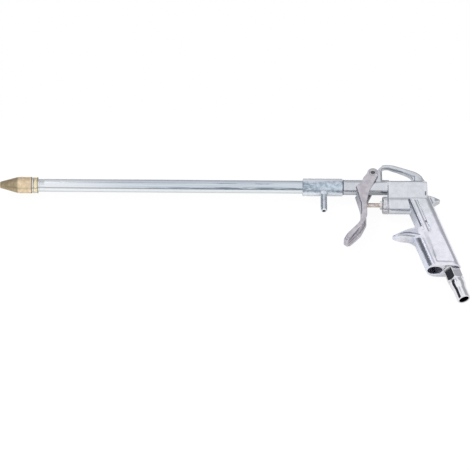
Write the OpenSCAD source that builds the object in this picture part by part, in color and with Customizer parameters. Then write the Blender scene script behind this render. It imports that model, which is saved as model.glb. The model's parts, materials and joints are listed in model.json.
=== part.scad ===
// Air blow gun with a long wand: a cast pistol body, a fork trigger, a poppet valve in the body,
// a siphon sleeve for washing liquid and an adjustable brass nozzle at the end of a plated tube.
// It is drawn upright, in millimetres: x runs backwards from the barrel's front face, z up from the
// barrel's axis, and y across. At the end every piece is laid on its side, as the gun rests on a bench.

/* [Barrel and block] */
// Outer diameter of the barrel
barrel_d = 14; // [13:0.5:15]
// Length of the round barrel in front of the block
barrel_len = 40.5; // [39:0.5:48]
// Diameter of the air way in the barrel
barrel_bore_d = 8; // [6:0.5:9]
// Length of the flat-sided block behind the barrel
block_len = 35.5; // [33:0.5:38]
// Distance between the block's two flat sides
block_w = 14.3; // [14.1:0.1:15]
// Diameter of the round crown on top of the block
crown_d = 12.6; // [11.5:0.1:13]
// Height of the block's sides above the barrel's axis
block_side_h = 2.9; // [2:0.1:4]
// Radius along the block's upper side edges
block_round = 1.4; // [0.8:0.1:1.8]

/* [Hanging loop] */
// Height of the loop's top above the barrel's axis
loop_h = 22.3; // [20:0.5:26]
// Width of the loop across the gun
loop_w = 6; // [4:0.5:7]
// Width of the lug that carries the trigger's pin
lug_w = 13.4; // [12:0.2:13.6]

/* [Trigger] */
// Length of the trigger from its pivot down to its tip
trigger_len = 73.7; // [70:0.5:76]
// Width of the trigger
trigger_w = 19; // [18.6:0.2:22]
// Thickness of each cheek
cheek_t = 1.9; // [1.6:0.1:2.1]
// Thickness of the web that joins the cheeks in front
web_t = 2; // [1.6:0.1:2.6]
// Distance of the pivot behind the barrel's front face
pivot_x = 26.8; // [26:0.1:27.5]
// Height of the pivot above the barrel's axis
pivot_h = 10.2; // [9.8:0.1:11]
// Diameter of the round boss at the pivot
boss_d = 10; // [9:0.5:11]
// Diameter of the trigger's pin
pin_d = 4.6; // [4:0.1:5]
// Diameter of the pin's head
pin_head_d = 7.6; // [7:0.1:8]

/* [Valve] */
// Distance of the valve's axis below the barrel's axis
stem_drop = 19.4; // [18.5:0.1:20]
// Diameter of the valve stem
stem_d = 4; // [3.5:0.1:4.4]
// Outer diameter of the valve chamber and of the gland nut's head
chamber_d = 16; // [15.5:0.1:17]
// Diameter of the chamber's bore
chamber_bore_d = 13.1; // [12.6:0.1:13.4]
// Length of the gland nut's round head
gland_head_len = 5.5; // [5.2:0.1:7]
// Length of the gland nut's shank inside the chamber
gland_shank_len = 13.9; // [13:0.1:14.5]
// Diameter of the rubber valve disc
disc_d = 10; // [9:0.1:11]
// Wire diameter of the return spring
wire_d = 0.9; // [0.7:0.1:1]
// Outer diameter of the return spring
spring_d = 9; // [8.5:0.1:10]
// Number of turns of the return spring
spring_turns = 7; // [5:1:8]

/* [Grip] */
// Lean of the grip from the vertical, in degrees
grip_tilt = 18.8; // [18:0.1:20]
// Thickness of the grip across the gun
grip_w = 20.6; // [19:0.1:21]
// Depth of the lower grip from front to rear
grip_depth = 29; // [28:0.5:32]
// Depth of the grip above the finger spur
neck_depth = 20.6; // [20:0.1:23]
// Distance of the grip's foot below the barrel's axis
grip_drop = 89.2; // [86:0.5:94]
// Distance that the finger spur reaches in front of the grip's neck
finger_reach = 27; // [22:0.5:28]
// Height of the finger spur's root
finger_h = 9; // [8:0.5:10]
// Diameter of the blind core hole in the grip's foot
core_d = 12.6; // [10:0.1:13]
// Depth of the core hole
core_depth = 42; // [30:1:46]

/* [Inlet plug] */
// Lean of the plug from the vertical, in degrees
inlet_tilt = 18; // [17:0.1:19]
// Length of the plug outside its seat
plug_len = 33; // [31:0.5:36]
// Diameter of the plug's nose
nose_d = 12; // [11:0.1:12.5]
// Distance across the flats of the plug's hexagon
hex_af = 14; // [13.8:0.1:15]
// Diameter of the air way in the plug
plug_bore_d = 7.5; // [6:0.1:8]
// Diameter of the plug's thread
inlet_thread_d = 12; // [11:0.1:12.4]

/* [Wand and siphon] */
// Outer diameter of the wand tube
tube_d = 12; // [11:0.1:12.6]
// Wall of the wand tube
tube_wall = 1; // [0.8:0.1:1.5]
// Distance from the barrel's front face to the nozzle's tip
wand_reach = 312.2; // [250:1:400]
// Length of the siphon sleeve
sleeve_len = 36.6; // [34:0.2:44]
// Outer diameter of the siphon sleeve
sleeve_d = 16.4; // [15.8:0.1:18]
// Outer diameter of the siphon barb
barb_d = 6; // [5:0.1:7]
// Bore of the siphon barb
barb_bore_d = 3; // [2:0.1:3.5]
// Distance of the barb's end below the barrel's axis
barb_drop = 26; // [22:0.5:32]
// Outer diameter of the air jet inside the sleeve
jet_d = 5; // [4:0.1:5.5]

/* [Nozzle] */
// Outer diameter of the nozzle and of its lock ring
nozzle_d = 15; // [14.6:0.1:17]
// Length of the nozzle's cone
cone_len = 16.8; // [14:0.2:20]
// Length of the nozzle's round body
nozzle_body_len = 12.4; // [11.5:0.2:16]
// Diameter of the nozzle's tip
tip_d = 5.8; // [4.6:0.1:6.4]
// Diameter of the nozzle's outlet
outlet_d = 2.4; // [1:0.1:3]
// Length of the lock ring
lock_ring_len = 4.4; // [3.5:0.1:6]

/* [Hidden] */
$fn = 64;

// Clearances: between a pin and its hole, and between two pieces that pass each other
running = 0.05;
passing = 0.3;
// Overrun of every cut past the face that it opens
over = 1;
// Steps in the arc of a rounded corner
arc_steps = 6;

// Places along the barrel's axis
block_x = barrel_len;
block_end = block_x + block_len;
barrel_r = barrel_d / 2;
crown_r = crown_d / 2;
stem_z = -stem_drop;

// Grip, in a frame that leans with it: u runs across the grip, from front to rear
grip_inset = 2.5;
u_rear = (block_end - grip_inset) * cos(grip_tilt);
u_front = u_rear - grip_depth;
u_neck = u_rear - neck_depth;
neck_round = 3;
rear_round = 6;
front_round = 8.4;
core_wall = 1;
core_u = u_front + core_wall + core_d / 2;
grip_top = -14.2;
grip_step = 3.5;
foot_s = -(grip_drop + grip_depth);
// Cast marks on both sides of the grip: a narrow sunk strip with a pit in it, and a panel that
// deepens towards the foot
strip_w = 2.3;
strip_depth = 0.5;
strip_len = 36.2;
strip_top_share = 0.435;
strip_u = u_neck + 6.4;
pit_d = 1.1;
pit_depth = 1.4;
pit_down = 26;
panel_depth = 0.45;
panel_fade = 3;
// Corners of the panel: shares of the grip's depth from its rear and of its drop, and for the radius of
// its depth
panel_shares = [[-0.58, -0.86, 0], [-0.69, -1.2, 0.05], [-0.17, -1.262, 0.05], [-0.17, -0.86, 0]];

// Finger spur and rear spur
finger_z = -52;
finger_x = (u_neck - finger_z * sin(grip_tilt)) / cos(grip_tilt);
// Side of the finger spur: shares of its reach and of its root's height, and the corner's radius as a
// share of that height
finger_side_shares = [[0.35, 0.6, 0], [0, 0.46, 0.5], [-0.42, 0.34, 2], [-0.98, -0.18, 0.08],
    [-0.975, -0.3, 0.05], [-0.78, -0.46, 1.2], [-0.36, -0.33, 0.9], [-0.17, -0.7, 0.8],
    [0.12, -1.15, 0], [0.35, -1.15, 0]];
// Plan of the finger spur: shares of its reach and of half the grip's width, and for the radius of that
// half width
finger_plan_shares = [[0.4, 1, 0], [-0.12, 0.97, 0.9], [-0.62, 0.62, 0.8], [-1.02, 0.22, 0.2],
    [-1.02, -0.22, 0.2], [-0.62, -0.62, 0.8], [-0.12, -0.97, 0.9], [0.4, -1, 0]];
rear_spur_len = 11.8;
rear_spur_h = 8.4;
rear_spur_w = 10;
rear_spur_z = -15.3;
rear_spur_side_shares = [[-0.4, 0.5, 0], [0.12, 0.5, 0.15], [1, 0.1, 0.04], [0.98, -0.04, 0.04],
    [0.5, -0.36, 0.15], [0.2, -1.1, 0], [-0.4, -1.1, 0]];
rear_spur_plan_shares = [[-0.4, 0.5, 0], [0.55, 0.44, 0.1], [1.02, 0.26, 0.06], [1.02, -0.26, 0.06],
    [0.55, -0.44, 0.1], [-0.4, -0.5, 0]];

// Hanging loop: corners as shares of its run behind the pivot's boss and of its rise over the crown, with the
// corner's radius as a share of the run
loop_outer_shares = [[-0.03, -0.4, 0], [0, 0.76, 0.09], [0.1, 1, 0.127], [0.287, 1, 0.5], [0.835, 0.47, 0.42],
    [1, -0.12, 0.2], [1, -0.4, 0]];
loop_hole_shares = [[0.086, -0.06, 0], [0.086, 0.856, 0.055], [0.22, 0.869, 0.16], [0.655, 0.35, 0.12],
    [0.73, 0, 0.03], [0.73, -0.06, 0]];
lug_rear = 2.5;

// Trigger: corners as shares of its length, from the pivot, with the corner's radius
trigger_top_shares = [[0.066, 0, 0]];
trigger_front_shares = [[0, 0.066, 0], [-0.068, 0.0, 0.02], [-0.121, -0.076, 0.05], [-0.133, -0.128, 0.03],
    [-0.214, -0.206, 0.02]];
web_top_shares = [-0.203, -0.250, 0];
web_front_shares = [[-0.152, -0.45, 0.3], [-0.155, -0.7, 0.19]];
web_tip_shares = [-0.374, -0.938];
tip_corner_share = 0.027;
trigger_rear_shares = [[-0.336, -0.982, 0.027], [-0.155, -0.79, 0.14], [-0.081, -0.63, 0.12],
    [-0.08, -0.41, 0.2], [-0.043, -0.255, 0.14], [0.064, -0.035, 0]];
// The tip is rounded across its width, in a frame that leans with the pad
tip_lean = 39;
tip_reach_share = 0.974;
tip_round_share = 0.92;
tip_lip = 3;

function from_pivot(shares) = [for (s = shares)
    [pivot_x + s[0] * trigger_len, pivot_h + s[1] * trigger_len, s[2] * trigger_len]];
web_line = rounded(from_pivot(concat([web_top_shares], web_front_shares, [[each web_tip_shares, 0]])));
web_table = [for (p = web_line) [p[1], p[0]]];
web_lean = atan2(lookup(stem_z - stem_d, web_table) - lookup(stem_z, web_table), stem_d);

// Trigger's pin
pin_head_t = 0.6;
pin_hollow_d = 3.2;
pin_mouth_d = 4;
pin_hollow_depth = 4;
washer_t = 0.5;
cheek_play = 0.3;
cheek_in = max(trigger_w / 2 - cheek_t, block_w / 2 + cheek_play);

// Valve, from the front: stem, gland nut, seat, disc and spring
chamber_wall = 0.2;
chamber_x = block_x;
gland_x = chamber_x - gland_head_len;
gland_round = 1.5;
seat_x = chamber_x + gland_shank_len;
gland_r = chamber_bore_d / 2 - running;
stem_r = stem_d / 2;
gallery_r = 3.4;
gallery_inset = 2.9;
gallery_x = chamber_x + gallery_inset;
port_inset = 7.9;
port_x = chamber_x + port_inset;
port_d = 3;
port_groove_w = 4;
port_groove_depth = 0.9;
cross_d = 5;
seal_inset = 4.2;
seal_x = gland_x + seal_inset;
seal_wire_d = 1.5;
stem_hole_r = stem_r + running;
gasket_t = 0.4;
gasket_inset = 0.6;
collar_d = 8;
collar_t = 1.9;
collar_x = gland_x - collar_t;
seat_gap = 0.1;
web_gap = 0.3;
stem_tip_x = lookup(stem_z, web_table) + web_t / cos(web_lean) + (stem_r + web_gap) / cos(web_lean) - stem_r;
stem_neck_r = 1.6;
disc_t = 2;
disc_hole_r = stem_neck_r + running;
disc_washer_t = 1.2;
disc_washer_d = 9.4;
stem_head_t = 1.4;
stem_head_d = 5;
spring_x = seat_x + seat_gap + disc_t + disc_washer_t;
chamber_end = block_end - chamber_wall;
spring_seat_t = 1;
spring_gap = 0.1;
spring_start = spring_x + spring_gap + wire_d / 2;
spring_len = chamber_end - spring_seat_t - spring_gap - wire_d / 2 - spring_start;
coil_slack = 1.02;
spring_rings = 8;
spring_sides = 6;

// Inlet plug
inlet_inset = 7.6;
inlet_up = 1.6;
inlet_z = -(grip_drop - inlet_up);
inlet_x = (u_rear - inlet_inset - inlet_z * sin(grip_tilt)) / cos(grip_tilt);
inlet_bore_d = 7;
inlet_thread_len = 11;
thread_room = 1.5;
plug_seal_t = 0.8;
plug_seal_d = 15.6;
spot_d = 16.6;
hex_len = 11.5;
// Turn of the hexagon about the plug when it is tight, in degrees
hex_turn = 41;
hex_chamfer = 0.9;
plug_neck_d = 12.4;
plug_neck_len = 1.6;
plug_shoulder_d = 13.8;
plug_shoulder_len = 3;
nose_len = 11;
mouth_d = 9;
mouth_len = 3;

// Siphon sleeve, adaptor and jet
gasket_x = -0.5;
sleeve_x = gasket_x - sleeve_len;
tube_r = tube_d / 2;
tube_in_r = tube_r - tube_wall;
tube_socket = 11;
tube_stop = sleeve_x + tube_socket;
sleeve_thread_len = 10;
adaptor_r = 4.9;
adaptor_len = 12;
jet_r = jet_d / 2;
barb_x = -17.8;
braze_r = 1.5;
braze_h = 2.8;
barb_r = barb_d / 2;
sleeve_r = sleeve_d / 2;
jet_bore_r = 1.4;
jet_past_barb = 7;
jet_end = barb_x - jet_past_barb;
jet_tip_r = 1.9;
jet_tip_len = 3;
jet_thread_len = 6;

// Nozzle and lock ring
nozzle_tip_x = -wand_reach;
cone_x = nozzle_tip_x + cone_len;
nozzle_end = cone_x + nozzle_body_len;
nozzle_neck_len = 1.1;
nozzle_neck_d = 13.4;
lock_x = nozzle_end + nozzle_neck_len;
lock_end = lock_x + lock_ring_len;
nozzle_socket = 10;
tube_end = nozzle_end - nozzle_socket + passing;
nozzle_edge = 0.5;
nozzle_seal_back = 2.2;
nozzle_seal_x = nozzle_end - nozzle_seal_back;
nozzle_seal_d = 0.8;
outlet_len = 5;

// Lowest and highest points of the laid gun, and its half thickness
nose_end_x = inlet_x + plug_len * sin(inlet_tilt) + nose_d / 2 * cos(inlet_tilt);
nose_end_z = inlet_z - plug_len * cos(inlet_tilt) - nose_d / 2 * sin(inlet_tilt);
half_t = trigger_w / 2 + washer_t + pin_head_t;

// Lays the upright gun on its side, over the middle of its own box
module laid() {
    translate([-(nozzle_tip_x + nose_end_x) / 2, -(loop_h + nose_end_z) / 2, half_t])
        rotate([-90, 0, 0])
            children();
}

// Direction of a vector
function unit(v) = v / norm(v);

// Points of an outline whose corners [x, y, r] are rounded to the radius r
function rounded(c) = [for (i = [0 : len(c) - 1])
    let (here = [c[i][0], c[i][1]],
        last = c[(i + len(c) - 1) % len(c)],
        next = c[(i + 1) % len(c)],
        u = unit([last[0], last[1]] - here),
        v = unit([next[0], next[1]] - here),
        half = acos(u * v) / 2,
        r = c[i][2])
    each r == 0 ? [here] : arc_between(here, u, v, half, r)];

// Arc of radius r that is tangent to the rays u and v from a corner
function arc_between(corner, u, v, half, r) =
    let (centre = corner + unit(u + v) * r / sin(half),
        from = corner + u * r / tan(half) - centre,
        to = corner + v * r / tan(half) - centre,
        turn = 180 - 2 * half)
    [for (k = [0 : arc_steps])
        centre + (sin(turn * (1 - k / arc_steps)) * from + sin(turn * k / arc_steps) * to) / sin(turn)];

// A line of points moved sideways by t
function beside(line, t) = [for (i = [0 : len(line) - 1])
    let (a = line[max(i - 1, 0)], b = line[min(i + 1, len(line) - 1)], d = unit(b - a))
    line[i] + t * [-d[1], d[0]]];

function reversed(list) = [for (i = [len(list) - 1 : -1 : 0]) list[i]];

// Corners given as shares of two lengths, moved to a place
function placed(shares, x0, z0, sx, sz, sr) = [for (s = shares) [x0 + s[0] * sx, z0 + s[1] * sz, s[2] * sr]];

// A side outline in x and z, made w wide about the middle plane
module side_plate(w) {
    translate([0, w / 2, 0])
        rotate([90, 0, 0])
            linear_extrude(w)
                children();
}

// A piece turned about a line along x, from a profile of [radius, x]
module turned_x(z, profile) {
    translate([0, 0, z])
        rotate([0, 90, 0])
            rotate_extrude()
                polygon(profile);
}

// A round bar along x
module bar_x(x0, x1, z, r) {
    translate([x0, 0, z])
        rotate([0, 90, 0])
            cylinder(r = r, h = x1 - x0);
}

// A ring along x between two radii
module ring_x(x0, x1, z, r_in, r_out) {
    turned_x(z, [[r_in, x0], [r_out, x0], [r_out, x1], [r_in, x1]]);
}

// A round rubber ring about a line along x, inner radius r
module seal_ring(x, z, r, d) {
    translate([x, 0, z])
        rotate([0, 90, 0])
            rotate_extrude()
                translate([r + d / 2, 0])
                    circle(d = d);
}

// A round bar across the gun
module bar_y(x, z, r, w) {
    translate([x, w / 2, z])
        rotate([90, 0, 0])
            cylinder(r = r, h = w);
}

// The frame that leans with the grip: its z runs up the grip
module in_grip() {
    rotate([0, -grip_tilt, 0])
        children();
}

// The frame of the inlet: its origin on the plug's seat and its z out of the plug
module at_inlet() {
    translate([inlet_x, 0, inlet_z])
        rotate([0, 180 - inlet_tilt, 0])
            children();
}

// Section of the grip in its leaning frame, from u0 to the rear
module grip_section(u0, r_front) {
    half = grip_w / 2;
    polygon(rounded([[u0, -half, r_front], [u_rear, -half, rear_round], [u_rear, half, rear_round],
        [u0, half, r_front]]));
}

module grip_solid() {
    neck_side = [[u_neck - over, grip_top - grip_step], [block_end, grip_top - grip_step],
        [block_end + over, grip_top], [block_end + grip_depth, grip_top],
        [block_end + 2 * grip_depth, -grip_drop], [u_neck - over, -grip_drop]];
    lower_side = [[0, finger_z], [block_end + 2 * grip_depth, finger_z],
        [block_end + 2 * grip_depth, -grip_drop], [0, -grip_drop]];
    intersection() {
        in_grip()
            translate([0, 0, foot_s - grip_depth])
                linear_extrude(-foot_s + grip_depth)
                    grip_section(u_neck, neck_round);
        side_plate(grip_w + 2 * over)
            polygon(neck_side);
    }
    intersection() {
        in_grip()
            translate([0, 0, foot_s - grip_depth])
                linear_extrude(-foot_s + grip_depth)
                    grip_section(u_front, front_round);
        side_plate(grip_w + 2 * over)
            polygon(lower_side);
    }
}

module finger_spur() {
    intersection() {
        side_plate(grip_w)
            polygon(rounded(placed(finger_side_shares, finger_x, finger_z, finger_reach, finger_h,
                finger_h)));
        translate([0, 0, -grip_drop])
            linear_extrude(grip_drop)
                polygon(rounded(placed(finger_plan_shares, finger_x, 0, finger_reach, grip_w / 2,
                    grip_w / 2)));
    }
}

module rear_spur() {
    intersection() {
        side_plate(rear_spur_w)
            polygon(rounded(placed(rear_spur_side_shares, block_end, rear_spur_z, rear_spur_len, rear_spur_h,
                rear_spur_len)));
        translate([0, 0, -grip_drop])
            linear_extrude(grip_drop)
                polygon(rounded(placed(rear_spur_plan_shares, block_end, 0, rear_spur_len, rear_spur_w,
                    rear_spur_len)));
    }
}

// Flat-sided block with a round crown, drawn across the gun and run along it
module block() {
    half = block_w / 2;
    section = rounded([[stem_z, -half, 0], [block_side_h, -half, block_round],
        [block_side_h, half, block_round], [stem_z, half, 0]]);
    translate([block_x, 0, 0])
        rotate([0, -90, 0])
            mirror([0, 0, 1])
                linear_extrude(block_len) {
                    polygon(section);
                    circle(crown_r);
                }
}

// Loop over the block, and the lug at its front that carries the trigger's pin
module hanging_loop() {
    front = pivot_x + boss_d / 2;
    run = block_end - front;
    rise = loop_h - crown_r;
    lug_r = boss_d / 2 - passing;
    lug_end = front + lug_rear;
    side_plate(loop_w)
        difference() {
            polygon(rounded(placed(loop_outer_shares, front, crown_r, run, rise, run)));
            polygon(rounded(placed(loop_hole_shares, front, crown_r, run, rise, run)));
        }
    side_plate(lug_w)
        polygon(rounded([[pivot_x - lug_r, 0, 0], [pivot_x - lug_r, pivot_h + lug_r, lug_r * 0.95],
            [lug_end, pivot_h + lug_r, lug_r * 0.4], [lug_end, 0, 0]]));
}

// Marks cast into both sides of the grip
module grip_marks() {
    face = grip_w / 2;
    strip_s = -strip_top_share * grip_drop;
    fade_s = panel_shares[0][1] * grip_drop - panel_fade;
    panel_run = fade_s - panel_shares[2][1] * grip_drop;
    for (side = [0, 1])
        mirror([0, side, 0])
            in_grip() {
                translate([strip_u - strip_w / 2, -face - over, strip_s - strip_len])
                    cube([strip_w, over + strip_depth, strip_len]);
                translate([strip_u, pit_depth - face, strip_s - pit_down])
                    rotate([90, 0, 0])
                        cylinder(d = pit_d, h = pit_depth + over);
                translate([0, -face, fade_s])
                    rotate([asin(panel_depth / panel_run), 0, 0])
                        translate([0, 0, -fade_s])
                            rotate([90, 0, 0])
                                linear_extrude(over)
                                    polygon(rounded(placed(panel_shares, u_rear, 0, grip_depth, grip_drop,
                                        grip_depth)));
            }
}

module gun_body() {
    color("silver")
        laid()
            difference() {
                union() {
                    bar_x(0, block_x + over, 0, barrel_r);
                    block();
                    bar_x(chamber_x, block_end - over, stem_z, chamber_d / 2);
                    grip_solid();
                    finger_spur();
                    rear_spur();
                    hanging_loop();
                }
                bar_x(-over, port_x + cross_d / 2 + over, 0, barrel_bore_d / 2);
                bar_x(-over, adaptor_len, 0, adaptor_r + running);
                bar_x(chamber_x - over, chamber_end, stem_z, chamber_bore_d / 2);
                translate([port_x, 0, stem_z])
                    cylinder(d = cross_d, h = stem_drop);
                bar_y(pivot_x, pivot_h, pin_d / 2 + running, lug_w + 2 * over);
                grip_marks();
                at_inlet() {
                    cylinder(d = spot_d, h = plug_len);
                    translate([0, 0, -inlet_thread_len - thread_room])
                        cylinder(r = inlet_thread_d / 2 + running, h = inlet_thread_len + thread_room + over);
                    mirror([0, 0, 1])
                        cylinder(d = inlet_bore_d, h = (-inlet_z - stem_drop) / cos(inlet_tilt));
                }
                in_grip()
                    translate([core_u, 0, foot_s])
                        cylinder(d = core_d, h = core_depth);
            }
}

module trigger() {
    outline = rounded(from_pivot(concat(trigger_top_shares, trigger_front_shares, web_front_shares,
        [[each web_tip_shares, tip_corner_share]], trigger_rear_shares)));
    half = trigger_w / 2;
    cheek = half - cheek_in;
    reach = tip_reach_share * trigger_len;
    tip_round = tip_round_share * half;
    color([0.66, 0.63, 0.68])
        laid()
            difference() {
                intersection() {
                    union() {
                        for (side = [-1, 1])
                            translate([0, side * (half - cheek / 2), 0])
                                side_plate(cheek) {
                                    polygon(outline);
                                    translate([pivot_x, pivot_h])
                                        circle(d = boss_d);
                                }
                        side_plate(half + cheek_in) {
                            polygon(concat(web_line, reversed(beside(web_line, web_t))));
                            intersection() {
                                polygon(outline);
                                translate([pivot_x, pivot_h])
                                    rotate(-tip_lean)
                                        translate([-trigger_len, -reach])
                                            square([2 * trigger_len, tip_lip]);
                            }
                        }
                    }
                    translate([pivot_x, 0, pivot_h])
                        rotate([0, tip_lean - 90, 0])
                            mirror([0, 0, 1])
                                translate([0, 0, -2 * trigger_len])
                                    linear_extrude(4 * trigger_len)
                                        polygon(rounded([[-reach, -half, tip_round], [trigger_len, -half, 0],
                                            [trigger_len, half, 0], [-reach, half, tip_round]]));
                }
                bar_y(pivot_x, pivot_h, pin_d / 2 + running, trigger_w + 2 * over);
            }
}

module trigger_pin() {
    color("gainsboro")
        laid()
            translate([pivot_x, 0, pivot_h])
                rotate([90, 0, 0])
                    difference() {
                        union() {
                            translate([0, 0, -trigger_w / 2 - washer_t - pin_head_t])
                                cylinder(d = pin_d, h = trigger_w + washer_t + pin_head_t);
                            translate([0, 0, trigger_w / 2])
                                rotate_extrude()
                                    polygon([[0, 0], [pin_head_d / 2, 0], [pin_head_d / 2, pin_head_t / 3],
                                        [pin_head_d / 2 - pin_head_t, pin_head_t], [0, pin_head_t]]);
                            translate([0, 0, -trigger_w / 2 - washer_t - pin_head_t])
                                cylinder(d = pin_head_d - pin_head_t, h = pin_head_t);
                        }
                        translate([0, 0, trigger_w / 2 + pin_head_t])
                            rotate_extrude()
                                polygon([[0, -pin_hollow_depth], [pin_hollow_d / 2, -pin_hollow_depth],
                                    [pin_hollow_d / 2, -pin_head_t], [pin_mouth_d / 2, 0],
                                    [pin_mouth_d / 2, over], [0, over]]);
                    }
}

module pin_washer() {
    color("lightgray")
        laid()
            translate([pivot_x, trigger_w / 2 + washer_t, pivot_h])
                rotate([90, 0, 0])
                    difference() {
                        cylinder(d = pin_head_d + 2 * pin_head_t, h = washer_t);
                        translate([0, 0, -over])
                            cylinder(r = pin_d / 2 + running, h = washer_t + 2 * over);
                    }
}

module gland_nut() {
    head_r = chamber_d / 2;
    head_end = chamber_x - gasket_t;
    color("silver")
        laid()
            difference() {
                turned_x(stem_z, concat(
                    [[stem_hole_r, gland_x]],
                    rounded([[head_r, gland_x, gland_round], [head_r, head_end, 0], [gland_r, head_end, 0],
                        [gland_r, seat_x, 0], [gallery_r, seat_x, 0], [gallery_r, gallery_x, 0],
                        [stem_hole_r, gallery_x, 0], [stem_hole_r, gland_x, 0]])));
                ring_x(seal_x - seal_wire_d / 2 - running, seal_x + seal_wire_d / 2 + running, stem_z,
                    stem_r, stem_hole_r + seal_wire_d);
                ring_x(port_x - port_groove_w / 2, port_x + port_groove_w / 2, stem_z,
                    gland_r - port_groove_depth, gland_r + over);
                bar_y(port_x, stem_z, port_d / 2, 2 * gland_r);
                translate([port_x, 0, stem_z - gland_r])
                    cylinder(d = port_d, h = 2 * gland_r);
            }
}

module gland_gasket() {
    color([0.2, 0.2, 0.22])
        laid()
            ring_x(chamber_x - gasket_t, chamber_x, stem_z, gland_r + running, chamber_d / 2 - gasket_inset);
}

module stem_collar() {
    color("whitesmoke")
        laid()
            ring_x(collar_x, gland_x, stem_z, stem_hole_r, collar_d / 2);
}

module stem_seal() {
    color([0.12, 0.12, 0.13])
        laid()
            seal_ring(seal_x, stem_z, stem_hole_r, seal_wire_d);
}

module valve_stem() {
    neck_end = spring_x;
    color([0.78, 0.63, 0.38])
        laid()
            turned_x(stem_z, concat(
                [for (a = [0 : 15 : 90]) [stem_r * sin(a), stem_tip_x + stem_r * (1 - cos(a))]],
                [[stem_r, seat_x + seat_gap], [stem_neck_r, seat_x + seat_gap], [stem_neck_r, neck_end],
                    [stem_head_d / 2, neck_end], [stem_head_d / 2, neck_end + stem_head_t / 2],
                    [stem_neck_r, neck_end + stem_head_t], [0, neck_end + stem_head_t]]));
}

module valve_disc() {
    color([0.15, 0.15, 0.16])
        laid()
            ring_x(seat_x + seat_gap, seat_x + seat_gap + disc_t, stem_z, disc_hole_r, disc_d / 2);
}

module disc_washer() {
    color([0.75, 0.62, 0.36])
        laid()
            ring_x(seat_x + seat_gap + disc_t, spring_x, stem_z, disc_hole_r, disc_washer_d / 2);
}

// The spring's wire follows a helix, closed up over its first and last turn
function spring_place(t) = let (turns = spring_turns, end_share = 1 / turns)
    let (closed = coil_slack * wire_d / spring_len)
    t < end_share ? t / end_share * closed
    : t > 1 - end_share ? 1 - (1 - t) / end_share * closed
    : closed + (t - end_share) / (1 - 2 * end_share) * (1 - 2 * closed);

module return_spring() {
    rings = spring_turns * spring_rings;
    mean_r = (spring_d - wire_d) / 2;
    points = [for (i = [0 : rings]) let (t = i / rings, a = 360 * spring_turns * t)
        for (k = [0 : spring_sides - 1]) let (b = 360 * k / spring_sides, r = mean_r + wire_d / 2 * cos(b))
            [r * cos(a), r * sin(a), spring_len * spring_place(t) + wire_d / 2 * sin(b)]];
    sides = [for (i = [0 : rings - 1]) for (k = [0 : spring_sides - 1])
        let (a = i * spring_sides + k, b = i * spring_sides + (k + 1) % spring_sides)
            each [[a, b, b + spring_sides], [a, b + spring_sides, a + spring_sides]]];
    first = [for (k = [1 : spring_sides - 2]) [0, k + 1, k]];
    last = rings * spring_sides;
    end = [for (k = [1 : spring_sides - 2]) [last, last + k, last + k + 1]];
    color("gray")
        laid()
            translate([spring_start, 0, stem_z])
                rotate([0, 90, 0])
                    polyhedron(points, concat(first, sides, end));
}

module spring_seat() {
    color("lightgray")
        laid()
            ring_x(chamber_end - spring_seat_t, chamber_end, stem_z, inlet_bore_d / 2, gland_r);
}

module inlet_plug() {
    nose_r = nose_d / 2;
    bore_r = plug_bore_d / 2;
    thread_r = inlet_thread_d / 2;
    hex_r = hex_af / 2 / cos(30);
    neck_x = plug_seal_t + hex_len;
    shoulder_x = neck_x + plug_neck_len;
    color([0.86, 0.87, 0.89])
        laid()
            at_inlet() {
                intersection() {
                    difference() {
                        translate([0, 0, plug_seal_t])
                            rotate([0, 0, hex_turn])
                                cylinder(r = hex_r, h = hex_len, $fn = 6);
                        translate([0, 0, -over])
                            cylinder(r = bore_r, h = plug_len);
                    }
                    rotate_extrude()
                        polygon([[0, plug_seal_t], [hex_r - hex_chamfer, plug_seal_t],
                            [hex_r, plug_seal_t + hex_chamfer / 2], [hex_r, neck_x - hex_chamfer / 2],
                            [hex_r - hex_chamfer, neck_x], [0, neck_x]]);
                }
                rotate_extrude()
                    polygon([[bore_r, -inlet_thread_len], [thread_r - hex_chamfer, -inlet_thread_len],
                        [thread_r, hex_chamfer - inlet_thread_len], [thread_r, plug_seal_t],
                        [bore_r, plug_seal_t]]);
                rotate_extrude()
                    polygon([[bore_r, neck_x], [plug_neck_d / 2, neck_x], [plug_neck_d / 2, shoulder_x],
                        [plug_shoulder_d / 2 - hex_chamfer / 2, shoulder_x],
                        [plug_shoulder_d / 2, shoulder_x + hex_chamfer / 2],
                        [plug_shoulder_d / 2, shoulder_x + plug_shoulder_len],
                        [nose_r, plug_len - nose_len], [nose_r, plug_len - hex_chamfer / 2],
                        [nose_r - hex_chamfer / 2, plug_len], [mouth_d / 2, plug_len],
                        [bore_r, plug_len - mouth_len]]);
            }
}

module plug_seal() {
    color("white")
        laid()
            at_inlet()
                difference() {
                    cylinder(d = plug_seal_d, h = plug_seal_t);
                    translate([0, 0, -over])
                        cylinder(r = inlet_thread_d / 2 + running, h = plug_seal_t + 2 * over);
                }
}

module siphon_sleeve() {
    color([0.72, 0.78, 0.82])
        laid()
            difference() {
                turned_x(0, [[adaptor_r + running, gasket_x], [adaptor_r + running, tube_stop],
                    [tube_r + running, tube_stop], [tube_r + running, sleeve_x],
                    [sleeve_r - nozzle_edge, sleeve_x], [sleeve_r, sleeve_x + nozzle_edge],
                    [sleeve_r, gasket_x - nozzle_edge], [sleeve_r - nozzle_edge, gasket_x]]);
                translate([barb_x, 0, -sleeve_r - over])
                    cylinder(r = barb_r + running, h = sleeve_r + over);
            }
}

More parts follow.
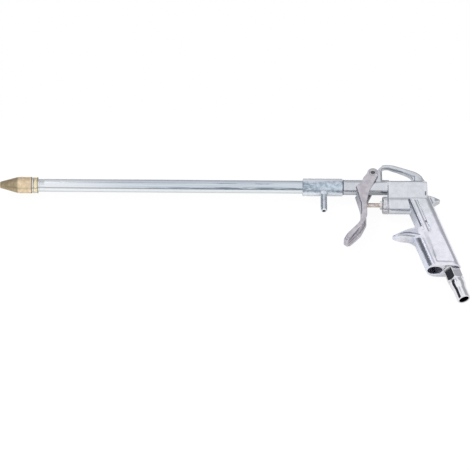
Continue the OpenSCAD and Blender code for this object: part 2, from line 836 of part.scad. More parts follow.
module siphon_barb() {
    color([0.72, 0.78, 0.82])
        laid()
            difference() {
                union() {
                    translate([barb_x, 0, -barb_drop])
                        cylinder(r = barb_r, h = barb_drop - adaptor_r - running);
                    difference() {
                        translate([barb_x, 0, -sleeve_r - braze_h / 2])
                            cylinder(r1 = barb_r, r2 = barb_r + braze_r, h = braze_h);
                        bar_x(barb_x - barb_d, barb_x + barb_d, 0, sleeve_r);
                    }
                }
                translate([barb_x, 0, -barb_drop - over])
                    cylinder(d = barb_bore_d, h = barb_drop);
            }
}

module barrel_adaptor() {
    color([0.78, 0.63, 0.38])
        laid()
            ring_x(gasket_x - sleeve_thread_len, adaptor_len, 0, jet_r + running, adaptor_r);
}

module barrel_gasket() {
    color([0.16, 0.18, 0.18])
        laid()
            ring_x(gasket_x, 0, 0, adaptor_r + running, barrel_r);
}

module air_jet() {
    color([0.78, 0.63, 0.38])
        laid()
            turned_x(0, [[jet_bore_r, jet_end], [jet_tip_r, jet_end], [jet_r, jet_end + jet_tip_len],
                [jet_r, gasket_x - sleeve_thread_len + jet_thread_len],
                [jet_bore_r, gasket_x - sleeve_thread_len + jet_thread_len]]);
}

module wand_tube() {
    color([0.82, 0.86, 0.88])
        laid()
            ring_x(tube_end, tube_stop, 0, tube_in_r, tube_r);
}

module lock_ring() {
    color([0.85, 0.74, 0.45])
        laid()
            turned_x(0, [[tube_r + running, lock_x], [nozzle_d / 2 - nozzle_edge, lock_x],
                [nozzle_d / 2, lock_x + nozzle_edge], [nozzle_d / 2, lock_end - nozzle_edge],
                [nozzle_d / 2 - nozzle_edge, lock_end], [tube_r + running, lock_end]]);
}

module nozzle() {
    socket_x = nozzle_end - nozzle_socket;
    groove_x = nozzle_seal_x - nozzle_seal_d / 2 - running;
    groove_r = tube_r + running + nozzle_seal_d;
    color([0.74, 0.6, 0.34])
        laid()
            difference() {
                turned_x(0, [[outlet_d / 2, nozzle_tip_x], [tip_d / 2 - nozzle_edge, nozzle_tip_x],
                    [tip_d / 2, nozzle_tip_x + nozzle_edge], [nozzle_d / 2, cone_x],
                    [nozzle_d / 2, nozzle_end - nozzle_edge], [nozzle_d / 2 - nozzle_edge, nozzle_end],
                    [nozzle_neck_d / 2, nozzle_end], [nozzle_neck_d / 2, lock_x], [tube_r + running, lock_x],
                    [tube_r + running, socket_x], [tube_in_r, socket_x],
                    [outlet_d / 2, nozzle_tip_x + outlet_len]]);
                ring_x(groove_x, groove_x + nozzle_seal_d + 2 * running, 0, tube_r, groove_r);
            }
}

module nozzle_seal() {
    color([0.12, 0.12, 0.13])
        laid()
            seal_ring(nozzle_seal_x, 0, tube_r + running, nozzle_seal_d);
}

gun_body();
trigger();
trigger_pin();
pin_washer();
gland_nut();
gland_gasket();
stem_collar();
stem_seal();
valve_stem();
valve_disc();
disc_washer();
return_spring();
spring_seat();
inlet_plug();
plug_seal();
siphon_sleeve();
siphon_barb();
barrel_adaptor();
barrel_gasket();
air_jet();
wand_tube();
lock_ring();
nozzle();
nozzle_seal();
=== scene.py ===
"""The looks of an air blow gun: cast, turned and plated finishes, with a studio and a camera."""
import json
import math
import bpy
import bmesh
from mathutils import Matrix, Vector


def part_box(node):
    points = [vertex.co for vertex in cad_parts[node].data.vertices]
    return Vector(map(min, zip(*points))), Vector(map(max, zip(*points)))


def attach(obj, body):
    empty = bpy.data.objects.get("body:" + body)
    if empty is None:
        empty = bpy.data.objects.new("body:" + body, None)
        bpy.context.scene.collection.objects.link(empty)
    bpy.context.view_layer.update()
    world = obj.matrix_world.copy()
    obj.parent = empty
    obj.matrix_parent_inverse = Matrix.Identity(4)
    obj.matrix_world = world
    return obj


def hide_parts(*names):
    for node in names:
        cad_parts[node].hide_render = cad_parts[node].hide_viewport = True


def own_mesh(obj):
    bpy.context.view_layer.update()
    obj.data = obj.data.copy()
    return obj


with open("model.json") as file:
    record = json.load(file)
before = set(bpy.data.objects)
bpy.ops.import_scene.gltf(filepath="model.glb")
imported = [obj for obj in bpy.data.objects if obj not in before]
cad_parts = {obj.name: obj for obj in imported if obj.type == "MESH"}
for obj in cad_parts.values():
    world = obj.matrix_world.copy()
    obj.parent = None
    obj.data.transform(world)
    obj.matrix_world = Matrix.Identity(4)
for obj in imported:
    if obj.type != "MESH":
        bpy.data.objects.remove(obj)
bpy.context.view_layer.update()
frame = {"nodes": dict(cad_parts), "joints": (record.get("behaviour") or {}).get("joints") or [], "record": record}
scene = bpy.context.scene
nodes = frame["nodes"]
joints = {joint["name"]: joint for joint in frame["joints"]}
mounts = {mount["name"]: mount for mount in frame["record"]["mounts"]}

MM = 0.001
SIDES = 96
SLIM_SIDES = 64
SHARP_ANGLE = math.radians(38)
CLEARANCE = 0.05
CAMERA_UP = math.radians(57)
TO_CAMERA = Vector((0, -math.cos(CAMERA_UP), math.sin(CAMERA_UP)))


# Geometry

def reach(node):
    """A round node's ends along X, its radius and its middle in Y and Z, in millimetres."""
    low, high = (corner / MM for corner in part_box(node))
    radius = (high.z - low.z) / 2
    return low.x, high.x, radius, (low.y + high.y) / 2, (low.z + high.z) / 2


_, BARREL_FRONT, BARREL_RADIUS, _, _ = reach("barrel_gasket")
BARREL_Y, BARREL_Z = reach("wand_tube")[3:]
TUBE_BORE = reach("wand_tube")[2] + CLEARANCE


def smooth_step(value):
    """0 below 0, 1 above 1 and a smooth rise between."""
    value = max(0.0, min(1.0, value))
    return value * value * (3 - 2 * value)


def inside(value, low, high, fade):
    """1 between low and high, fading to 0 over a distance outside them."""
    return max(0.0, min(1.0, (value - low) / fade + 1, (high - value) / fade + 1))


def axis_frame(origin, direction):
    """The matrix whose Z runs along a direction from an origin in metres."""
    along = Vector(direction).normalized()
    upright = abs(along.z) > 0.9
    across = Vector((1, 0, 0)) if upright else Vector((0, 0, 1))
    side = along.cross(across).normalized()
    across = side.cross(along)
    matrix = Matrix((across, side, along)).transposed().to_4x4()
    matrix.translation = Vector(origin)
    return matrix


def along_x(node):
    """The frame of a node that is round about X: its Z coordinate is the world's X."""
    _, _, _, middle_y, middle_z = reach(node)
    return axis_frame((0, middle_y * MM, middle_z * MM), (1, 0, 0))


def softened(corners, steps=5):
    """A closed profile of (along, radius) whose corners (along, radius, round) have arcs."""
    points = []
    count = len(corners)
    for index, (along, radius, rounding) in enumerate(corners):
        here = Vector((along, radius))
        if rounding == 0:
            points.append(here)
            continue
        back = (Vector(corners[index - 1][:2]) - here).normalized()
        ahead = (Vector(corners[(index + 1) % count][:2]) - here).normalized()
        half = back.angle(ahead) / 2
        middle = here + (back + ahead).normalized() * rounding / math.sin(half)
        start = here + back * rounding / math.tan(half) - middle
        end = here + ahead * rounding / math.tan(half) - middle
        turn = math.pi - 2 * half
        for step in range(steps + 1):
            share = step / steps
            towards_end = math.sin(turn * (1 - share)) * start + math.sin(turn * share) * end
            points.append(middle + towards_end / math.sin(turn))
    return points


def add_object(name, data):
    """A new object in the scene, with a mesh, a lamp or a camera."""
    made = bpy.data.objects.new(name, data)
    scene.collection.objects.link(made)
    return made


def add_piece(name, mesh, matrix=None):
    """A new object with smooth shading and sharp edges kept."""
    mesh.shade_smooth()
    mesh.set_sharp_from_angle(angle=SHARP_ANGLE)
    piece = add_object(name, mesh)
    if matrix is not None:
        piece.matrix_world = matrix
    return piece


def mesh_of(name, build):
    """A mesh made by a function that fills a bmesh, with clean normals."""
    shape = bmesh.new()
    build(shape)
    bmesh.ops.remove_doubles(shape, verts=shape.verts, dist=1e-7)
    bmesh.ops.recalc_face_normals(shape, faces=shape.faces)
    mesh = bpy.data.meshes.new(name)
    shape.to_mesh(mesh)
    shape.free()
    return mesh


def join_rings(shape, ring, following):
    """The faces between two rings that have the same number of points."""
    for side in range(len(ring)):
        beside = (side + 1) % len(ring)
        shape.faces.new((ring[side], ring[beside], following[beside], following[side]))


def revolved(name, profile, matrix, sides=SIDES, radius_at=None):
    """A piece turned about its own Z from a closed profile in millimetres.

    radius_at(radius, angle) may change the radius on the way round."""
    points = [Vector(point) for point in profile]

    def build(shape):
        rings = []
        for along, radius in points:
            ring = []
            for side in range(sides):
                angle = 2 * math.pi * side / sides
                here = radius_at(radius, angle) if radius_at else radius
                x, y = here * math.cos(angle), here * math.sin(angle)
                ring.append(shape.verts.new((x * MM, y * MM, along * MM)))
            rings.append(ring)
        for index, ring in enumerate(rings):
            after = (index + 1) % len(rings)
            on_axis = points[index].y == 0 and points[after].y == 0
            if not on_axis:
                join_rings(shape, ring, rings[after])
    return add_piece(name, mesh_of(name, build), matrix)


# Materials

class Net:
    """Short ways to add shader nodes to a material or the world."""

    def __init__(self, owner):
        owner.use_nodes = True
        self.tree = owner.node_tree
        self.tree.nodes.clear()

    def add(self, kind, **values):
        """A new node, with its settings."""
        node = self.tree.nodes.new(kind)
        for name, value in values.items():
            setattr(node, name, value)
        return node

    def link(self, source, target):
        self.tree.links.new(source, target)

    def put(self, value, target):
        """Links a socket, or sets a plain value."""
        if isinstance(value, bpy.types.NodeSocket):
            self.link(value, target)
        else:
            target.default_value = value

    def place(self, scale=(1, 1, 1)):
        """The point on the piece in its own frame, in millimetres, stretched by a scale."""
        coordinates = self.add("ShaderNodeTexCoord")
        mapping = self.add("ShaderNodeMapping")
        mapping.inputs["Scale"].default_value = tuple(share / MM for share in scale)
        self.link(coordinates.outputs["Object"], mapping.inputs["Vector"])
        return mapping.outputs["Vector"]

    def part(self, vector, axis):
        """One coordinate of a vector."""
        node = self.add("ShaderNodeSeparateXYZ")
        self.put(vector, node.inputs[0])
        return node.outputs[axis]

    def dot(self, vector, fixed):
        """The dot product with a fixed vector."""
        node = self.add("ShaderNodeVectorMath", operation="DOT_PRODUCT")
        self.link(vector, node.inputs[0])
        node.inputs[1].default_value = tuple(fixed)
        return node.outputs["Value"]

    def picture_height(self):
        """On a tube along X, the height above its axis in the picture's plane, in millimetres."""
        return self.dot(self.place(), (math.cos(CAMERA_UP), -math.sin(CAMERA_UP), 0))

    def from_axis(self):
        """The distance from the piece's own Z axis, in millimetres."""
        node = self.add("ShaderNodeVectorMath", operation="LENGTH")
        self.link(self.place(scale=(1, 1, 0)), node.inputs[0])
        return node.outputs["Value"]

    def noise(self, place, scale, detail=2.0, roughness=0.5):
        node = self.add("ShaderNodeTexNoise")
        self.link(place, node.inputs["Vector"])
        node.inputs["Scale"].default_value = scale
        node.inputs["Detail"].default_value = detail
        node.inputs["Roughness"].default_value = roughness
        return node.outputs["Fac"]

    def ramp(self, value, low, high, out_low=0.0, out_high=1.0):
        """A smooth step from out_low at low to out_high at high."""
        node = self.add("ShaderNodeMapRange", interpolation_type="SMOOTHSTEP")
        self.put(value, node.inputs["Value"])
        node.inputs["From Min"].default_value = low
        node.inputs["From Max"].default_value = high
        node.inputs["To Min"].default_value = out_low
        node.inputs["To Max"].default_value = out_high
        return node.outputs["Result"]

    def math(self, kind, first, second):
        node = self.add("ShaderNodeMath", operation=kind)
        self.put(first, node.inputs[0])
        self.put(second, node.inputs[1])
        return node.outputs[0]

    def both(self, first, second):
        """The product of two shares."""
        return self.math("MULTIPLY", first, second)

    def band(self, value, rise, fall, most=1.0):
        """From 0 to most over the rise (low, high), and back to 0 over the fall (low, high)."""
        return self.both(self.ramp(value, *rise), self.ramp(value, *fall, most, 0.0))

    def mix(self, share, first, second, kind="MIX"):
        """Two colours mixed: the first where the share is 0 and the second where it is 1."""
        node = self.add("ShaderNodeMix", data_type="RGBA", blend_type=kind)
        self.put(share, node.inputs[0])
        self.put(colour(first), node.inputs[6])
        self.put(colour(second), node.inputs[7])
        return node.outputs[2]

    def tinted(self, base, tint):
        """A colour multiplied by a tint."""
        return self.mix(1.0, base, tint, "MULTIPLY")

    def bump(self, height, strength, distance, normal=None):
        """A normal bent by a height, whose full rise is a distance in millimetres."""
        node = self.add("ShaderNodeBump")
        node.inputs["Strength"].default_value = strength
        node.inputs["Distance"].default_value = distance * MM
        self.link(height, node.inputs["Height"])
        if normal is not None:
            self.link(normal, node.inputs["Normal"])
        return node.outputs["Normal"]


def colour(value):
    """Red, green and blue with an alpha, or a socket as it is."""
    return value if isinstance(value, bpy.types.NodeSocket) else (*value, 1.0)


def new_material(name):
    material = bpy.data.materials.new(name)
    return material, Net(material)


def surface(net, base, rough, metallic, normal):
    """Ends a material with its shader."""
    shader = net.add("ShaderNodeBsdfPrincipled")
    net.put(colour(base), shader.inputs["Base Color"])
    net.put(rough, shader.inputs["Roughness"])
    net.put(metallic, shader.inputs["Metallic"])
    net.link(normal, shader.inputs["Normal"])
    output = net.add("ShaderNodeOutputMaterial")
    net.link(shader.outputs["BSDF"], output.inputs["Surface"])


# Painted shade for the inside of bores and hollows.
BORE_SHADE = (0.03, 0.03, 0.033)
# Slate of painted shade and painted dark reflections on the castings.
SHADE_SLATE = (0.10, 0.12, 0.16)
# Slate of painted dark reflections on the plating.
REFLECTION_SLATE = (0.22, 0.28, 0.33)


def openness(net):
    """0 in bores and deep corners, and 1 where the sky is open within 6 mm."""
    corner = net.add("ShaderNodeAmbientOcclusion", samples=8)
    corner.inputs["Distance"].default_value = 6 * MM
    return net.ramp(corner.outputs["AO"], 0.08, 0.5)


def cast_metal(name, pale, dark, polish_and_highlight, rough, region=None):
    """A die casting: mottled and lightly pitted, brighter along its edges, partly from polish and partly as a
    painted highlight, and with painted shade in its corners.

    region is (tint, axis, low, high): a tint that comes in along an axis, in millimetres. Faces towards
    the nozzle get a painted bluish reflection and are more matt, and the mesh's painted shade darkens it to slate."""
    material, net = new_material(name)
    corner_shade = (0.36, 0.36, 0.40)
    corner_metallic = 0.3
    front_reflection_tint = (0.91, 0.945, 1.0)
    front_roughness, front_paint = 0.05, 0.13
    edge_polish = 0.05
    grain, pit_depth, mottle_depth = 0.2, 0.05, 0.4

    place = net.place()
    mottle = net.noise(place, 0.2, detail=3.0, roughness=0.55)
    pits = net.noise(place, 1.2)
    geometry = net.add("ShaderNodeNewGeometry")
    edge = net.ramp(geometry.outputs["Pointiness"], 0.505, 0.56)
    front = net.ramp(net.part(geometry.outputs["Normal"], "X"), -0.45, -0.15, 1.0, 0.0)
    opened = openness(net)
    painted_shade = net.add("ShaderNodeAttribute", attribute_name="painted_shade")

    base = net.mix(net.ramp(mottle, 0.38, 0.64), dark, pale)
    if region:
        tint, axis, low, high = region
        base = net.mix(net.ramp(net.part(place, axis), low, high), base, net.tinted(base, tint))
    # Brighter edges: partly polish, partly a painted highlight.
    base = net.mix(edge, base, polish_and_highlight)
    base = net.mix(opened, corner_shade, base)
    # Painted shade and painted dark reflections from the pressed lines.
    base = net.mix(painted_shade.outputs["Fac"], base, SHADE_SLATE)
    # A painted bluish reflection on faces towards the nozzle.
    base = net.mix(front, base, net.tinted(base, front_reflection_tint))
    roughness = net.ramp(mottle, 0.35, 0.65, rough + 0.07, rough)
    roughness = net.math("ADD", roughness, net.both(front, front_roughness))
    roughness = net.math("SUBTRACT", roughness, net.both(edge, edge_polish))
    metallic = net.ramp(opened, 0, 1, corner_metallic, 1.0)
    metallic = net.math("SUBTRACT", metallic, net.both(front, front_paint))
    normal = net.bump(pits, grain, pit_depth)
    normal = net.bump(mottle, grain, mottle_depth, normal)
    surface(net, base, roughness, metallic, normal)
    return material


def turned_metal(name, pale, dark, rough, ring_depth=0.35, bore=0.0, hollow=BORE_SHADE,
                 region=None, dirt=()):
    """A metal turned about the piece's own Z: fine rings, with stained patches.

    Inside the bore's radius it has painted shade in the hollow colour. region is (tint, low, high) along Z, in
    millimetres, and dirt is the (low, high) ends of lines of old grease along Z."""
    material, net = new_material(name)
    old_grease = (0.13, 0.09, 0.08)
    grease_edge, grease_share = 0.3, 0.85
    rings = net.noise(net.place(scale=(0.02, 0.02, 1)), 2.2, detail=3.0, roughness=0.6)
    stains = net.noise(net.place(), 0.4, detail=4.0, roughness=0.6)
    along = net.part(net.place(), "Z")

    stained = net.both(net.ramp(stains, 0.35, 0.62), net.ramp(rings, 0.25, 0.6, 0.7, 1.0))
    base = net.mix(stained, dark, pale)
    if region:
        tint, low, high = region
        base = net.mix(net.ramp(along, low, high), net.tinted(base, tint), base)
    for low, high in dirt:
        line = net.band(along, (low - grease_edge, low), (high, high + grease_edge), grease_share)
        base = net.mix(line, base, old_grease)
    # Painted shade inside the bore.
    if bore:
        base = net.mix(net.ramp(net.from_axis(), bore, bore + 0.1), hollow, base)
    roughness = net.ramp(stains, 0.3, 0.7, rough + 0.08, rough)
    surface(net, base, roughness, 1.0, net.bump(rings, ring_depth, 0.06))
    return material


def plated_sleeve(name):
    """Blue-white plating: clouded, with painted highlights above and below, paler on the barb, and a painted dark
    slate reflection at the front end.
    """
    material, net = new_material(name)
    dark, pale, bright = (0.36, 0.43, 0.51), (0.60, 0.68, 0.74), (0.90, 0.93, 0.95)
    front = reach("siphon_sleeve")[0]
    barb_bore = 1.6
    clouds = net.noise(net.place(), 0.3, detail=4.0, roughness=0.6)
    scuffs = net.noise(net.place(scale=(1, 1, 0.3)), 0.8, detail=4.0, roughness=0.6)
    along = net.part(net.place(), "Z")
    height = net.picture_height()
    away = net.from_axis()

    base = net.mix(net.ramp(clouds, 0.36, 0.60), dark, pale)
    # Painted highlights along the top and the bottom, by the height in the picture.
    base = net.mix(net.ramp(height, 4.6, 6.2), base, bright)
    base = net.mix(net.ramp(height, -6.0, -4.4, 0.7, 0.0), base, bright)
    # A painted dark reflection across the middle of the front end, broken up by scuffs.
    front_end = net.band(along, (front - 1, front), (front + 7, front + 14))
    middle = net.band(height, (-3.8, -2.6), (3.0, 4.2))
    slate_reflection = net.both(net.both(front_end, middle), net.ramp(scuffs, 0.40, 0.58, 0.0, 0.8))
    base = net.mix(slate_reflection, base, REFLECTION_SLATE)
    slim = net.both(net.ramp(away, 2.6, 2.9, 1.0, 0.4), net.ramp(away, 4.0, 5.5, 1.0, 0.0))
    base = net.mix(slim, base, bright)
    # Painted shade inside the barb's bore.
    base = net.mix(net.ramp(away, barb_bore, barb_bore + 0.1), BORE_SHADE, base)
    roughness = net.ramp(clouds, 0.3, 0.7, 0.36, 0.27)
    surface(net, base, roughness, 1.0, net.bump(scuffs, 0.12, 0.05))
    return material


def drawn_tube(name):
    """Bright plating on a drawn tube: long streaks, with painted light that makes it brighter towards the nozzle
    and along its lower side, and two painted dark reflection bands.

    The bands run along the tube's side, one below its middle and one above, in the picture."""
    material, net = new_material(name)
    dark, pale, bright = (0.50, 0.56, 0.61), (0.64, 0.69, 0.74), (0.84, 0.87, 0.88)
    streaks = net.noise(net.place(scale=(1, 1, 0.012)), 1.3, detail=4.0, roughness=0.65)
    scuffs = net.noise(net.place(scale=(1, 1, 0.06)), 0.9, detail=4.0, roughness=0.6)
    along = net.part(net.place(), "Z")
    height = net.picture_height()

    base = net.mix(net.ramp(streaks, 0.34, 0.56), dark, pale)
    # Painted light: brighter towards the nozzle.
    base = net.mix(net.ramp(along, -190, -60), bright, base)
    # A painted highlight along the lower side, by the height in the picture.
    base = net.mix(net.ramp(height, -3.4, -2.4, 0.75, 0.0), base, bright)
    # Two painted dark reflection bands, broken up by scuffs.
    low_band = net.band(height, (-3.1, -2.3), (-1.2, -0.2))
    low_reflection = net.both(net.ramp(scuffs, 0.40, 0.56), net.ramp(along, -110, -10))
    base = net.mix(net.both(low_band, low_reflection), base, REFLECTION_SLATE)
    high_band = net.band(height, (1.6, 2.2), (2.8, 3.3))
    high_reflection = net.both(net.ramp(scuffs, 0.52, 0.64), net.ramp(along, -60, 20))
    base = net.mix(net.both(high_band, high_reflection), base, REFLECTION_SLATE)
    roughness = net.ramp(streaks, 0.3, 0.7, 0.22, 0.14)
    surface(net, base, roughness, 1.0, net.bump(streaks, 0.25, 0.05))
    return material


def plain_finish(name, pale, dark, rough, metallic=0.0):
    """A simple finish with fine mottling, for rubber, plastic and hidden steel."""
    material, net = new_material(name)
    speckle = net.noise(net.place(), 0.8, detail=4.0)
    base = net.mix(net.ramp(speckle, 0.3, 0.7), dark, pale)
    roughness = net.ramp(speckle, 0.3, 0.7, rough + 0.08, rough)
    surface(net, base, roughness, metallic, net.bump(speckle, 0.2, 0.05))
    return material


NOZZLE_BACK = reach("nozzle")[1] - 1.1
CONE_END = NOZZLE_BACK - 12.4
RING_FRONT, RING_BACK = reach("lock_ring")[:2]

FINISHES = {
    "cast_body": (cast_metal, dict(pale=(0.84, 0.84, 0.90), dark=(0.77, 0.78, 0.83),
                                   polish_and_highlight=(0.90, 0.90, 0.92), rough=0.13,
                                   region=((0.86, 0.88, 0.86), "Y", 8, 24))),
    "trigger_cast": (cast_metal, dict(pale=(0.61, 0.58, 0.61), dark=(0.52, 0.49, 0.53),
                                      polish_and_highlight=(0.85, 0.83, 0.84), rough=0.28)),
    # The rivet's hollow has a grey painted shade.
    "rivet_steel": (turned_metal, dict(pale=(0.62, 0.61, 0.62), dark=(0.48, 0.47, 0.48), rough=0.25,
                                       bore=1.65, hollow=(0.13, 0.13, 0.14))),
    "gland_plated": (turned_metal, dict(pale=(0.72, 0.72, 0.75), dark=(0.46, 0.46, 0.49), rough=0.1,
                                        ring_depth=0.1)),
    "rubber": (plain_finish, dict(pale=(0.055, 0.057, 0.06), dark=(0.03, 0.03, 0.032), rough=0.55)),
    "collar_nylon": (plain_finish, dict(pale=(0.88, 0.87, 0.86), dark=(0.78, 0.77, 0.76), rough=0.4)),
    "stem_brass": (turned_metal, dict(pale=(0.90, 0.82, 0.75), dark=(0.60, 0.52, 0.45), rough=0.22,
                                      ring_depth=0.6)),
    "spring_steel": (plain_finish, dict(pale=(0.60, 0.60, 0.62), dark=(0.45, 0.45, 0.47), rough=0.3,
                                        metallic=1.0)),
    # The plug's bore has painted shade.
    "plug_chrome": (turned_metal, dict(pale=(0.86, 0.86, 0.89), dark=(0.78, 0.78, 0.81), rough=0.05,
                                       ring_depth=0.08, bore=4.4)),
    "ptfe": (plain_finish, dict(pale=(0.9, 0.9, 0.88), dark=(0.8, 0.8, 0.78), rough=0.5)),
    "zinc_plate": (plated_sleeve, {}),
    "tube_plate": (drawn_tube, {}),
    "ring_brass": (turned_metal, dict(pale=(0.93, 0.85, 0.62), dark=(0.80, 0.68, 0.42), rough=0.2,
                                      ring_depth=0.5,
                                      dirt=((RING_FRONT - 0.5, RING_FRONT + 0.2),
                                            (RING_BACK - 0.35, RING_BACK + 0.5)))),
    # The nozzle's cone is darkened by its region tint, a painted shade.
    "nozzle_brass": (turned_metal, dict(pale=(0.92, 0.75, 0.52), dark=(0.72, 0.58, 0.38), rough=0.34,
                                        ring_depth=0.7, bore=1.3,
                                        region=((0.50, 0.50, 0.47), CONE_END - 1.5, CONE_END + 0.5),
                                        dirt=((NOZZLE_BACK - 0.5, NOZZLE_BACK + 0.5),))),
}
MATERIALS = {slot: make(slot, **settings) for slot, (make, settings) in FINISHES.items()}


def dress(piece, slot, body, *replaced):
    """Gives a new piece its finish, its body and the CAD nodes that it stands for."""
    piece.data.materials.clear()
    piece.data.materials.append(MATERIALS[slot])
    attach(piece, body)
    if replaced:
        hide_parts(*replaced)


def finish_node(node, slot):
    """Gives a CAD node that stays in view its finish."""
    mesh = nodes[node].data
    mesh.materials.clear()
    mesh.materials.append(MATERIALS[slot])


# Castings

class PaintedLine:
    """A dark line of painted shade and painted reflection on the near side of a casting, where the photograph's
    camera sees it.

    Its points are (back, up, half width): back from the barrel's front, and up in the picture's plane,
    both from the barrel's axis, in millimetres. It is as deep as depth, and dark from 0 to 1."""

    fade = 1.5

    def __init__(self, points, depth, dark):
        self.points = points
        self.depth = depth
        self.dark = dark
        margin = self.fade * max(point[2] for point in points)
        self.low = [min(point[axis] for point in points) - margin for axis in (0, 1)]
        self.high = [max(point[axis] for point in points) + margin for axis in (0, 1)]

    def share(self, back, up):
        """1 on the line, falling softly to 0 beside it."""
        if not (self.low[0] < back < self.high[0] and self.low[1] < up < self.high[1]):
            return 0.0
        best = 0.0
        for start, end in zip(self.points, self.points[1:]):
            run, rise = end[0] - start[0], end[1] - start[1]
            along = ((back - start[0]) * run + (up - start[1]) * rise) / (run * run + rise * rise)
            along = max(0.0, min(1.0, along))
            away = math.hypot(back - start[0] - along * run, up - start[1] - along * rise)
            half = start[2] + (end[2] - start[2]) * along
            best = max(best, smooth_step(self.fade - away / half))
        return best


SHADE_UNDER_BARREL = PaintedLine([(22, -5.5, 1.6), (30, -5.5, 1.9), (38.5, -5.5, 2.0)], 0, 0.42)
# Painted dark reflections along the finger spur.
SPUR_TOP_REFLECTION = PaintedLine([(49.9, -41.6, 0.3), (54, -40.8, 0.7), (58.5, -40.7, 0.8), (63, -41.2, 0.6),
                        (67.5, -42.3, 0.35)], 0.15, 0.75)
SPUR_LOW_REFLECTION = PaintedLine([(48, -43, 0.4), (52, -42.9, 0.6), (56, -43.2, 0.75), (60, -43.7, 0.7),
                        (63, -44.1, 0.4)], 0.2, 0.6)
SPUR_TIP_REFLECTION = PaintedLine([(43.9, -42.5, 0.4), (47.7, -40.9, 0.45)], 0.1, 0.7)
SHADE_BESIDE_RECESS = PaintedLine([(72.9, -41.3, 1.7), (80.1, -61, 1.7)], 0, 0.25)
SHADE_ON_LUG = PaintedLine([(34.4, 16, 2.2), (36.3, 5.1, 2.2)], 0, 0.32)
# A slot and a pit, pressed in and darkened with painted shade.
SLOT_IN_BLOCK = PaintedLine([(74.3, -3.4, 0.4), (74.3, -6.1, 0.4)], 0.3, 0.9)
PIT_IN_GRIP = PaintedLine([(73.1, -29.9, 0.45), (73.4, -30.6, 0.45)], 0.3, 0.9)
# Painted shade lines along the hanging loop's strap.
LOOP_UPPER_LINE = PaintedLine([(36, 17.4, 0.3), (40.3, 17.5, 0.4), (43.4, 17.2, 0.45), (48, 15.6, 0.4),
                        (51.8, 15.0, 0.4), (55.7, 14, 0.4), (59.5, 12.4, 0.4), (63.4, 11, 0.5),
                        (65, 10.9, 0.4)], 0.15, 0.7)
LOOP_REAR_LINE = PaintedLine([(65.1, 10.8, 0.4), (65.1, 6.8, 0.4)], 0.15, 0.6)
LOOP_LOWER_LINE = PaintedLine([(40.3, 16, 0.3), (44.2, 14.9, 0.35), (48, 13.5, 0.35), (51.8, 12.6, 0.35),
                        (55.7, 10.5, 0.35), (59.5, 8.8, 0.35)], 0, 0.6)
SHADE_BEHIND_LOOP = PaintedLine([(67.6, 8.6, 1.1), (71.2, 7.9, 1.1)], 0, 0.35)
BODY_PAINTED_LINES = [SHADE_UNDER_BARREL, SPUR_TOP_REFLECTION, SPUR_LOW_REFLECTION, SPUR_TIP_REFLECTION,
              SHADE_BESIDE_RECESS, SHADE_ON_LUG, SLOT_IN_BLOCK, PIT_IN_GRIP, LOOP_UPPER_LINE,
              LOOP_REAR_LINE, LOOP_LOWER_LINE, SHADE_BEHIND_LOOP]

# Painted shade in the trigger's slit and in the wedge on its pad.
LEAF_SLIT = PaintedLine([(11.3, 0.5, 0.3), (13.3, -6.4, 0.45), (15.6, -14.7, 0.5), (15.6, -22, 0.45),
                  (15.1, -26.5, 0.2)], 0.5, 0.85)
PAD_WEDGE = PaintedLine([(14.7, -35.6, 0.25), (12.2, -39.3, 0.95), (8.1, -44.6, 0.65), (4.5, -49, 0.25)], 0.6, 0.8)
TRIGGER_PAINTED_LINES = [LEAF_SLIT, PAD_WEDGE]

# Sizes and places of the body, back from the barrel's front and up from its axis
GRIP_LEAN = math.radians(18.8)
GRIP_TOP = -24.0
GRIP_FRONT = 40.6
GRIP_REAR = 69.6
GRIP_HALF = 10.3
BLOCK_FRONT = 38.8
BLOCK_END = 76.0
LUG_REAR = 34.3
TRIGGER_TIP = -48.0
LOOP_FOOT = BARREL_RADIUS + 1.5
STRAP_THICK = 3.3
FAR = 200.0


def body_roundness(point):
    """How much rounder the body is than its CAD solid: on its loop, its spurs and the grip's edges."""
    back = point.x - BARREL_FRONT
    up = point.y - BARREL_Y
    across = abs(point.z - BARREL_Z)
    front_roll, rear_roll, face_skin, spur_share = 8.2, 5.5, 0.9, 0.3
    over_grip = back * math.cos(GRIP_LEAN) + up * math.sin(GRIP_LEAN)
    front_edge = inside(over_grip, -FAR, GRIP_FRONT + front_roll, 0.8)
    rear_edge = inside(over_grip, GRIP_REAR - rear_roll, FAR, 0.8)
    between_faces = inside(across, 0, GRIP_HALF - face_skin, 0.3)
    grip = inside(up, -FAR, GRIP_TOP, 1) * max(front_edge, rear_edge, between_faces)
    loop = inside(up, BARREL_RADIUS + 1.2, FAR, 1) * inside(back, LUG_REAR + 1, FAR, 1)
    rear_spur = inside(back, BLOCK_END + 0.5, FAR, 0.5)
    crown = inside(back, BLOCK_END - 4, FAR, 2) * inside(up, BARREL_RADIUS - 4, FAR, 2)
    return max(loop, grip, rear_spur * spur_share, crown)


def trigger_roundness(point):
    """The trigger is rounder at its tip."""
    return inside(point.y - BARREL_Y, -FAR, TRIGGER_TIP, 6)


def in_picture(point):
    """How far back a point lies, and how far up in the picture's plane, in millimetres."""
    up = (point.y - BARREL_Y) * math.sin(CAMERA_UP) + (point.z - BARREL_Z) * math.cos(CAMERA_UP)
    return point.x - BARREL_FRONT, up


